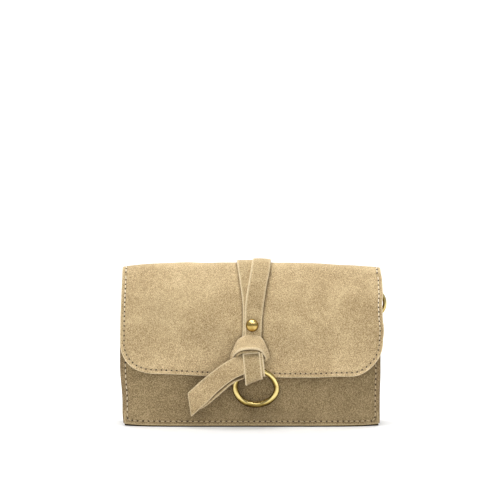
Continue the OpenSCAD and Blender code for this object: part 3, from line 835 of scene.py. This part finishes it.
G = gusset_grid()
for side, label in ((1, "right"), (-1, "left")):
    gusset = slab(f"{label}_gusset_suede", bowed(G * [side, 1, 1]), SUEDE_T - 0.1, SUEDE_DARK,
                  (-900 * side, 0, 50), edge=0.4)
    placed(gusset, "body", f"{label}_gusset")

X, share = grid((-HALF_BODY + 0.5, HALF_BODY - 0.5, 90), (0, 1, 30))
near = panel_y(0.0) + 0.75 - forward(X, 0.0)
Y = near + (back_y(0.0) - 0.9 - near) * share
# painted shade: the base's cut edges are darkened
base = slab("base_suede", np.stack([X, Y, lifted(X)], -1), 1.5, SUEDE_DARK, INSIDE, edge=-1.0)
placed(base, "body", "base_panel")


# ---- Straps ----

def strap_edge(s, table):
    """A strap edge's X, with the table's corners smoothed over nine rows."""
    return np.convolve(np.pad(np.interp(s, *zip(*table)), 4, mode="edge"), np.ones(9) / 9, "valid")


def strap(side, left, right, off, half, twist=None, edge=0.85):
    """A strap on the sheet: left and right are its edges' X against s, off its height above the sheet."""
    s = np.linspace(BACK_LOW, STRAP_END, 150)
    v = np.linspace(0, 1, 11)
    xl, xr = strap_edge(s, left) + 0.25, strap_edge(s, right) - 0.25
    lift = np.interp(s, *zip(*off))
    X = xl[:, None] + (xr - xl)[:, None] * v[None, :]
    crown = 0.16 * (1 - (2 * v - 1) ** 2)
    tilt = 0 if twist is None else np.interp(s, *zip(*twist))[:, None] * (v[None, :] - 0.5)
    P = outer(X, s[:, None], lift[:, None] + STRAP_T + crown[None, :] + tilt)
    # bright: painted highlight where the strap goes over the top
    obj = slab(f"strap_{side}_suede", P, STRAP_T, SUEDE_STRAP, INSIDE, edge=edge,
               bright=0.9 * painted_highlight(s[:, None]) * step(60, 80, P[..., 2]))
    bends(obj, half, f"strap_{side}", f"strap_fold_{side}", f"strap_back_{side}")


strap("left", left_l, left_r, [(BACK_LOW, 0.1), (S_TOP, 0.25), (STRAP_END, 0.05)], 7.6)
right_off = [(BACK_LOW, 0.1), (SIDE, 0.4), (S_TOP, 1.2), (float(s_front(104)), 1.6), (STRAP_END, 1.62)]
right_twist = [(SIDE, 0), (S_TOP, -0.5), (float(s_front(95)), -0.2), (STRAP_END, 0)]
strap("right", right_l, right_r, right_off, 8.4, right_twist, (0.9, 0.5))

HEAD = [(0, 0.95), (1.2, 0.9), (2.3, 0.72), (3.1, 0.42), (3.45, 0.12), (3.4, -0.1), (1.4, -0.2), (0, -0.3)]
heads = [lathe_data(HEAD, outer(x, s_back(84.0), STRAP_T + 0.1), (0, 0.98, 0.1)) for x in (-4.2, 8.6)]
fitting("strap_anchor_heads", "strap_anchor_rivets", "body", heads)

RIVET = np.array([0.45, -23.9, 73.0])
DOME = ([(4.45 * math.sin(a), 0.35 + 3.1 * math.cos(a)) for a in arc(0, 84, 16)]
        + [(4.5, 0.42), (4.62, 0.25), (4.55, 0.05), (4.2, -0.1), (1.4, -0.3), (1.4, -5), (0, -5)])
v, f, _ = lathe_data(DOME, RIVET, (0, -1, 0.03), 64)
across, _, rise = (v - RIVET).T
# painted reflections on the dome: a dark rim, a dark band across its middle and darker below it
painted_reflection = 0.05 + 0.6 * step(0.7, 1.0, np.hypot(across, rise) / 4.5) + 0.4 * np.exp(-((rise - 0.4) / 1.1) ** 2)
painted_reflection += 0.25 * step(-0.4, -1.5, rise)
fitting("dome_rivet_brass", "dome_rivet", "flap", [(v, f, {"painted_reflection": painted_reflection})], DOME_BRASS)


# ---- Knot ----

KNOT = (-1, -20, 48)


def band_grid(outer_edge, lower_edge, bulge):
    """A band between two edges, swelling outward between them, and its outward normals."""
    nu, nv = 70, 16
    A, B = spline(outer_edge, nu), spline(lower_edge, nu)
    v = np.linspace(0, 1, nv)[None, :, None]
    P = A[:, None] * (1 - v) + B[:, None] * v
    normal = unit(np.cross(np.gradient((A + B) / 2, axis=0), B - A))
    arch = np.sin(np.pi * np.linspace(0, 1, nv) ** 0.9)[None, :, None]
    size = np.interp(np.linspace(0, 1, nu), np.linspace(0, 1, len(bulge)), bulge)[:, None, None]
    normal = (normal * np.sign(np.sum(normal * [0, -1, 0.4], axis=1, keepdims=True)))[:, None]
    return P + normal * arch * size, normal


LOWER_EDGE = [(-9.5, -27.5, 48.5), (-13.2, -31.0, 50.2), (-13.2, -32.0, 52.0), (-11.8, -34.2, 54.3),
              (-9.9, -35.5, 56.0), (-7.6, -36.4, 57.2), (-5.2, -37.0, 57.9), (-2.8, -37.3, 58.2),
              (-0.6, -37.4, 58.3), (1.2, -37.4, 58.3), (3.2, -37.2, 58.1), (5.2, -36.8, 57.6),
              (7.2, -36.0, 56.5), (8.9, -34.8, 54.7), (10.0, -33.3, 52.4), (10.4, -31.8, 50.2),
              (9.0, -30.0, 48.6), (6.0, -28.0, 47.5)]
BULGE = [0.2, 0.8, 1.2, 1.2, 0.8, 0.1, -0.5, -0.9, -1.1, -0.9, -0.5, 0.1, 0.8, 1.2, 1.0, 0.4]
P, N = band_grid(OUTER_EDGE, LOWER_EDGE, BULGE)
# painted highlight: the band is paler, most along its outer edge; under paints shade on its inner face
band = slab("knot_band_upper", P, STRAP_T, SUEDE, KNOT, edge=(1.0, 0.7), under=1.0,
            bright=0.5 + 0.5 * np.exp(-(np.linspace(0, 1, P.shape[1]) / 0.2) ** 2)[None, :])
placed(band, "flap", "knot_wrap")
inner = P - N * (STRAP_T + 0.35)
inner[:, -1] += [0, 0.35, -1.15]
inner[:, -2] += [0, 0.2, -0.6]
# painted shade: the lower layer's cut edges, its inner face and its face away from its lower edge are
# darkened
band_low = slab("knot_band_lower", inner, STRAP_T, SUEDE_STRAP, KNOT, edge=(0.5, -0.1), under=1.6,
                shade=1.5 - 1.5 * step(0.86, 1.0, np.linspace(0, 1, inner.shape[1]))[None, :])
placed(band_low, "flap")

# The ring's wire inside the loop: the loop's middle on it, and the wire's direction there.
TURN = math.asin(1.6 / RING_R)
MID = BAR + [1.2 - BAR[0], RING_R * (1 - math.cos(TURN)) * math.sin(RING_LEAN),
             -RING_R * (1 - math.cos(TURN)) * math.cos(RING_LEAN)]
WIRE_DIR = np.array([math.cos(TURN), -math.sin(TURN) * math.sin(RING_LEAN),
                     math.sin(TURN) * math.cos(RING_LEAN)])
LOOP_WIDTH = 11.6


def loop_grid(radius, front_top, back_top, slant, shift=0.0):
    """A band round the ring's wire, with its legs up to the heights given."""
    up = np.array([-0.10, 0, 0.995])
    fore = unit(np.cross(WIRE_DIR, up))
    path = ([(radius * 0.96, h) for h in np.linspace(front_top, 0.6, 14)]
            + [(radius * math.cos(t), -radius * 0.98 * math.sin(t)) for t in arc(0, 180, 26)]
            + [(-radius * 0.92, h) for h in np.linspace(0.6, back_top, 12)])
    P = []
    for f, h in spline(path, 60):
        row = []
        for c in np.linspace(-0.5, 0.5, 13):
            x = c * LOOP_WIDTH
            drop = RING_R - math.sqrt(RING_R ** 2 - min(abs(x), 7) ** 2)
            drop *= 0.25 * (1 - float(step(0, 8, h)))
            tip = slant * (c - 0.95) * (1 - float(step(-1, 10, h)))
            row.append(MID + WIRE_DIR * (x + shift) + fore * f + up * (h - drop + tip))
        P.append(row)
    return np.array(P)


P = loop_grid(5.3, 12.5, 11, 3.5)
shade = 1.3 * step(50.0, 54.0, P[..., 2])
placed(slab("ring_loop_outer", P, STRAP_T - 0.1, SUEDE_STRAP, BAR, shade=shade), "flap", "ring_loop")
P = loop_grid(3.8, 11.5, 10, 2.4, shift=1.9)
placed(slab("ring_loop_inner", P, STRAP_T - 0.1, SUEDE_STRAP, BAR), "flap")


def tail(name, top, low, back=0.0, shade=0.0, root=0.0):
    """A strap end between its top and lower edges, back mm behind them."""
    A, B = spline(top, 70), spline(low, 70)
    v = np.linspace(0, 1, 17)
    P = A[:, None] * (1 - v[None, :, None]) + B[:, None] * v[None, :, None]
    hump = 0.5 + root * step(-16, -7, P[..., 0])
    P[..., 1] += back - hump * (1 - (2 * v[None, :] - 1) ** 2) + 0.22 * ripple(P[..., 0], P[..., 2], 28)
    # under paints shade on the inner face; shade paints shade between the layers
    return slab(name, P, STRAP_T, SUEDE, (-25, 0, 30), edge=0.6, under=1.2, bright=0.3,
                shade=shade * (1 - step(0.84, 0.95, v))[None, :])


TAIL_TOP = [(-5.0, -28.6, 55.5), (-9.6, -30.8, 52.6), (-15.3, -32.2, 49.0), (-21, -32.0, 45.5),
            (-26, -31.2, 41.8), (-31.6, -30.2, 37.2), (-36.6, -29.2, 33), (-41.5, -28.2, 28.4),
            (-45.3, -27.4, 25.0)]
TAIL_LOW = [(-5.3, -35.0, 39.5), (-8.2, -34.8, 38.2), (-11, -34.4, 36.9), (-15.3, -33.6, 34.3),
            (-21, -32.4, 29.7), (-26, -31.2, 25.1), (-31.6, -29.9, 19.0), (-36.2, -28.8, 15.0),
            (-39.6, -28.0, 11.6), (-42.9, -27.3, 8.6)]
LAYER_TOP = [(-5.4, -34.4, 40.0), (-9, -33.4, 40.5), (-15, -31.8, 42), (-24, -31.6, 38), (-38.5, -28.8, 24.6)]
LAYER_LOW = [(-5.4, -35.0, 36.2), (-8.2, -34.8, 35.1), (-11.8, -34.3, 33.6), (-15.3, -33.6, 31.3),
             (-18.9, -32.8, 28.1), (-22.4, -32.0, 24.9), (-26, -31.1, 21.7), (-29.5, -30.4, 18.5),
             (-33.1, -29.6, 15.7), (-36.8, -28.7, 13.5)]
placed(tail("knot_tail_upper", TAIL_TOP, TAIL_LOW, root=2.2), "tail", "tail_upper")
tail_low = tail("knot_tail_lower", LAYER_TOP, LAYER_LOW, back=STRAP_T + 0.5, shade=1.6)
placed(tail_low, "tail", "tail_lower")


# ---- Rings ----

def painted_reflection_wire(path, radius, sides, centre, normal, most=1.0):
    """A closed wire with painted reflections: a painted highlight on its front, its back and where it faces
    up, and painted brown reflection along the rest.
    """
    path, radius = np.asarray(path, float), np.broadcast_to(np.asarray(radius, float), (len(path),))
    v, f, _ = tube_data(path, radius, sides, closed=True)
    normal = unit(np.asarray(normal, float))
    out = path - centre
    out = unit(out - (out @ normal)[:, None] * normal)
    offset = (v.reshape(len(path), sides, 3) - path[:, None]) / radius[:, None, None]
    turn = np.radians(np.clip(-100 * out[:, 2] - 20, -35, 72))[:, None]
    face = np.abs(offset @ normal) * np.cos(turn) - np.sum(offset * out[:, None], axis=2) * np.sin(turn)
    return v, f, {"painted_reflection": most * (1 - step(0.6, 1.0, face.ravel()))}


a = np.linspace(0, 2 * np.pi, 160, endpoint=False)
down = np.array([0, math.sin(RING_LEAN), -math.cos(RING_LEAN)])
centre = BAR + down * RING_R
thicker = 0.28 * step(0.25, 0.7, (1 - np.cos(a)) / 2)
right = (RING_R - thicker) * np.sin(a) + 4.0 * thicker * np.clip(np.sin(a), 0, 1)
ring = centre - ((RING_R - thicker) * np.cos(a))[:, None] * down + right[:, None] * [1, 0, 0]
# painted reflections along the ring's wire
wire = painted_reflection_wire(ring, WIRE_R + thicker, 28, centre, np.cross([1, 0, 0], down))
fitting("knot_ring", "o_ring", "ring", [wire])

TAB = np.array([87.7, 1.04, 88.0])
BOW_R, D_WIRE_R = 10.4, 1.4
bow_line = [TAB + [BOW_R * math.cos(t), 0, BOW_R * math.sin(t)] for t in arc(-80, 80, 40)]
bar = [TAB + [0, 0, z] for z in np.linspace(BOW_R - 1.2, 1.2 - BOW_R, 14)]
upper, lower = TAB + [0.45, 0, BOW_R - 0.15], TAB + [0.45, 0, 0.15 - BOW_R]
d_path = spline(np.array(bow_line + [upper] + bar + [lower] + bow_line[:1]), 160)[:-1]
# painted reflections along the D-ring's wire
fitting("wrist_d_ring", "d_ring", "wrist_ring", [painted_reflection_wire(d_path, D_WIRE_R, 20, TAB, (0, 1, 0), 0.5)])

wrap = ([(-9.0, -1.05), (-6, -1.05), (-3, -1.15)]
        + [(2.45 * math.cos(t), 2.45 * math.sin(t)) for t in arc(-115, 115, 18)]
        + [(-3, 1.15), (-6, 1.05), (-9.0, 1.05)])
P = np.array([[(TAB[0] + x, TAB[1] + y, TAB[2] + h) for h in np.linspace(-6.8, 6.8, 14)]
              for x, y in spline(wrap, 60)])
placed(slab("wrist_ring_tab_suede", P, 0.95, SUEDE, TAB + [-4, 0, 0]), "body", "wrist_ring_tab")


# ---- Fittings inside ----

def block_data(low, high, bevel, taper=0.0):
    """A box with rounded edges; taper narrows its low-X end in Y by that share."""
    bm = bmesh.new()
    bmesh.ops.create_cube(bm, size=1)
    low, high = np.array(low, float), np.array(high, float)
    for v in bm.verts:
        share = np.array(v.co) + 0.5
        at = low + (high - low) * share
        if share[0] < 0.5:
            at[1] = (low[1] + high[1]) / 2 + (at[1] - (low[1] + high[1]) / 2) * (1 - taper)
        v.co = at
    bmesh.ops.bevel(bm, geom=bm.edges[:], offset=bevel, segments=3, profile=0.5, affect="EDGES")
    verts = np.array([v.co[:] for v in bm.verts])
    bm.verts.index_update()
    faces = [tuple(v.index for v in f.verts) for f in bm.faces]
    bm.free()
    return verts, faces, {}


def ring_data(profile, centre, axis, turns=48):
    """A solid of revolution with a hole: profile is a closed outline of (radius, place along the axis)."""
    v, f, _ = lathe_data(list(profile) + [profile[0]], centre, axis, turns)
    last = len(v) - turns
    return v[:last], [tuple(i % last for i in face) for face in f], {}


def inner_stitches(name, half, y, z, normal, seed, pale, length):
    """A straight row of small stitches from -half to half."""
    line = even([(-half, y, z), (half, y, z)], INNER_PITCH)
    placed(stitches(name, line, [normal] * len(line), seed, pale, length, 0.2), "body")


SNAP_X, SNAP_Z = 0.6, 52.0
seat = (SNAP_X, float(panel_y(SNAP_Z)), SNAP_Z)
socket = [(3.2, 0.1), (3.2, 1.0), (3.6, 1.25), (4.2, 1.05), (6.4, 1.05), (6.9, 1.25), (7.6, 1.0), (8.0, 0.5),
          (8.0, 0.0), (3.4, 0.0)]
fitting("snap_socket_brass", "snap_socket", "body",
        [ring_data(socket, seat, (0, -1, 0)),
         lathe_data([(0, 0.25), (3.3, 0.2), (3.3, -0.1), (0, -0.1)], seat, (0, -1, 0))])
seat = (SNAP_X, float(flap_y(SNAP_Z)) + 2.2, SNAP_Z)
stud = [(0, 2.1), (1.4, 2.05), (1.9, 1.75), (2.05, 1.2), (2.5, 1.02), (5.9, 0.98), (6.5, 1.18), (7.4, 1.0),
        (8.0, 0.5), (7.95, -0.05), (0, -0.05)]
fitting("snap_stud_brass", "snap_stud", "flap", [lathe_data(stud, seat, (0, 1, 0))])
plate = [(0, 0.42), (1.2, 0.5), (2.2, 0.55), (2.8, 0.38), (3.0, 0.1), (2.9, -0.05), (0, -0.05)]
fitting("rivet_back_plate", "rivet_base", "flap", [lathe_data(plate, (0.6, -17.6, 72.5), (0, 1, 0), 40)])

for label, top, y in (("low", 54.4, -7.1), ("middle", 64.4, -6.3), ("high", 74.4, -5.5)):
    X, Z = grid((-46.8, 46.8, 60), (6.6, top - 0.2, 36))
    P = np.stack([X, y - 0.10 * step(top - 14, top, Z) * (1 - (X / 47) ** 2), Z], -1)
    pocket = slab(f"card_pocket_{label}", P, 0.66, LINING, (0, 20, 40), "lining", edge=0.8,
                  shade=0.7 * np.exp(-((top - 2.0 - Z) / 0.7) ** 2))
    placed(pocket, "body", f"card_slot_{label}")
    inner_stitches(f"card_pocket_stitches_{label}", 45.5, y - 0.02, top - 2.0, (0, -1, 0), 7, 0.5, 2.0)

TOOTH_PITCH, TEETH = 3.0, 45
for side, label in ((-1, "front"), (1, "back")):
    X, Z = grid((-76.8, 76.8, 80), (1.6, 83.9, 40))
    P = np.stack([X, np.full_like(X, side * 4.7), Z], -1)
    wall = slab(f"zip_pocket_{label}", P, 0.88, LINING, (0, 0, 40), "lining", edge=0.7)
    placed(wall, "body", f"pocket_{label}_wall")
    X, Y = grid((-75.9, 75.9, 120), (2.3, 6.4, 10))
    P = np.stack([X, side * Y, np.full_like(X, ZIP_Z)], -1)
    tape = slab(f"zip_tape_cloth_{label}", P, 0.48, TAPE, (0, 0, 40), "zip_tape")
    placed(tape, "body", f"zip_tape_{label}")
    inner_stitches(f"zip_tape_stitches_{label}", 75, side * 5.4, ZIP_Z, (0, 0, 1), 8, 0.7, 2.1)
    first = -70.0 if side < 0 else -68.5
    teeth = []
    for x in first + TOOTH_PITCH * np.arange(TEETH):
        near, far = sorted((side * 2.2, -side * 0.5))
        teeth.append(block_data((x - 0.6, near, 83.5), (x + 0.6, far, 85.0), 0.28))
        near, far = sorted((side * 2.65, side * 1.2))
        teeth.append(block_data((x - 0.5, near, 84.42), (x + 0.5, far, 84.95), 0.2))
    fitting(f"zip_teeth_brass_{label}", f"zip_teeth_{label}", "body", teeth)

PULL_AXIS = (62, 0, 88.4)
stops = [block_data((x - 1.0, -3.1, ZIP_Z), (x + 1.0, 3.1, 85.45), 0.3) for x in (-73.0, 68.5)]
fitting("zip_stops_brass", "zip_stops", "body", stops)
slider = [block_data((57.5, -3.4, 85.35), (66.5, 3.4, 86.4), 0.35, 0.3),
          block_data((57.5, -3.4, 82.1), (66.5, 3.4, 83.15), 0.35, 0.3),
          block_data((65.3, -0.6, 85.1), (66.5, 0.6, 86.2), 0.2),
          block_data((65.3, -0.6, 82.3), (66.5, 0.6, 83.4), 0.2)]
for side in (-1, 1):
    y0, y1 = sorted((side * 3.4, side * 2.75))
    slider.append(block_data((59.8, y0, 84.75), (66.4, y1, 86.1), 0.22))
    slider.append(block_data((59.8, y0, 82.4), (66.4, y1, 83.75), 0.22))
    y0, y1 = sorted((side * 1.25, side * 1.95))
    slider.append(block_data((60.7, y0, 86.1), (63.3, y1, 89.55), 0.3))
slider.append(lathe_data([(0, -2.1), (0.55, -2.05), (0.7, -1.85), (0.7, 1.85), (0.55, 2.05), (0, 2.1)],
                         PULL_AXIS, (0, 1, 0), 20))
fitting("zip_slider_brass", "zip_slider", "slider", slider)
eye = [(0.8, -0.75), (0.9, -1.0), (1.35, -1.0), (1.6, -0.75),
       (1.6, 0.75), (1.35, 1.0), (0.9, 1.0), (0.8, 0.75)]
pull = [ring_data(eye, PULL_AXIS, (0, 1, 0), 28),
        block_data((58.0, -1.0, 87.85), (60.8, 1.0, 88.95), 0.25),
        block_data((50.0, -2.5, 87.85), (58.6, 2.5, 88.95), 0.45, 0.2),
        block_data((51.3, -1.4, 88.85), (57.2, 1.4, 89.15), 0.12, 0.2)]
fitting("zip_pull_brass", "zip_pull", "pull", pull)

# Pieces that stay as the CAD made them.
CAD_LEATHER = leather("lining_on_cad", (134, 110, 76), (172, 147, 108), on_cad=True)
CAD_BRASS = metal("brass_on_cad", (92, 70, 28), (228, 200, 124), 0.21, on_cad=True)
for node, material in (("pocket_edge", CAD_LEATHER), ("snap_socket_washer", CAD_BRASS),
                       ("snap_stud_washer", CAD_BRASS)):
    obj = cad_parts[node]
    for place in obj.material_slots:
        place.material = material
    if not obj.material_slots:
        obj.data.materials.append(material)


# ---- Floor, light and camera ----

def stage_material():
    """A white sweep with a barely seen unevenness."""
    n = Nodes("studio_white")
    tone = n.node("TexNoise", Scale=3).outputs["Fac"]
    colour = n.mix(n.ramp(tone, 0.3, 0.7), (0.80, 0.80, 0.797), (0.83, 0.83, 0.828))
    return n.set(Base_Color=colour, Roughness=0.8, Specular_IOR_Level=0.1)


STUDIO = (0, -1000, 0)
CURVE = [(2400 + 1000 * math.sin(t), 1000 - 1000 * math.cos(t)) for t in arc(0, 90, 14)]
verts, faces, _ = lathe_data([(0, 0), (400, 0), (900, 0), (1500, 0), (2000, 0)] + CURVE + [(3400, 3500)],
                             STUDIO, (0, 0, 1), 96)
sweep = added("studio_sweep", smooth_mesh("studio_sweep", verts, faces, stage_material()))


def light(name, at, to, size, watts, mirrored=True):
    data = bpy.data.lights.new(name, "AREA")
    data.shape = "RECTANGLE"
    data.size, data.size_y = size
    data.energy = watts
    obj = added(name, data)
    obj.location = at
    obj.visible_glossy = mirrored
    direction = np.array(to) - np.array(at)
    obj.rotation_euler = Vector(direction).to_track_quat("-Z", "Y").to_euler()


light("key_above", (-0.28, -0.62, 1.42), (0, 0, 0.06), (1.4, 0.55), 9)
light("glint", (0.3, -1.1, 1.1), (0, 0, 0.05), (1.7, 0.35), 5.2)
light("fill_front", (-0.1, -1.7, 0.42), (0, 0, 0.06), (1.3, 0.5), 8.9, mirrored=False)
light("top_strip", (0.0, -0.05, 1.4), (0, 0, 0.1), (1.2, 0.5), 11.5)
light("back_wash", (0.0, 0.9, 1.8), (0, 1.9, 0.3), (2.6, 0.8), 44)

world = bpy.data.worlds.new("studio")
SCENE.world = world
world.use_nodes = True
background = world.node_tree.nodes["Background"].inputs
background["Color"].default_value = (0.95, 0.97, 1.0, 1)
background["Strength"].default_value = 0.2

SCENE.view_settings.view_transform = "Standard"

SENSOR = 36
SPAN_AT, SPAN = 850, 358.8     # in mm: at that distance the picture is that wide
camera = bpy.data.cameras.new("camera")
camera.sensor_width = SENSOR
camera.lens = SENSOR * SPAN_AT / SPAN
camera.clip_start, camera.clip_end = 0.05, 30
viewer = added("camera", camera)
viewer.location = (-1.1 * MM, -0.871, 0.127)
viewer.rotation_euler = (math.radians(90), 0, 0)
SCENE.camera = viewer
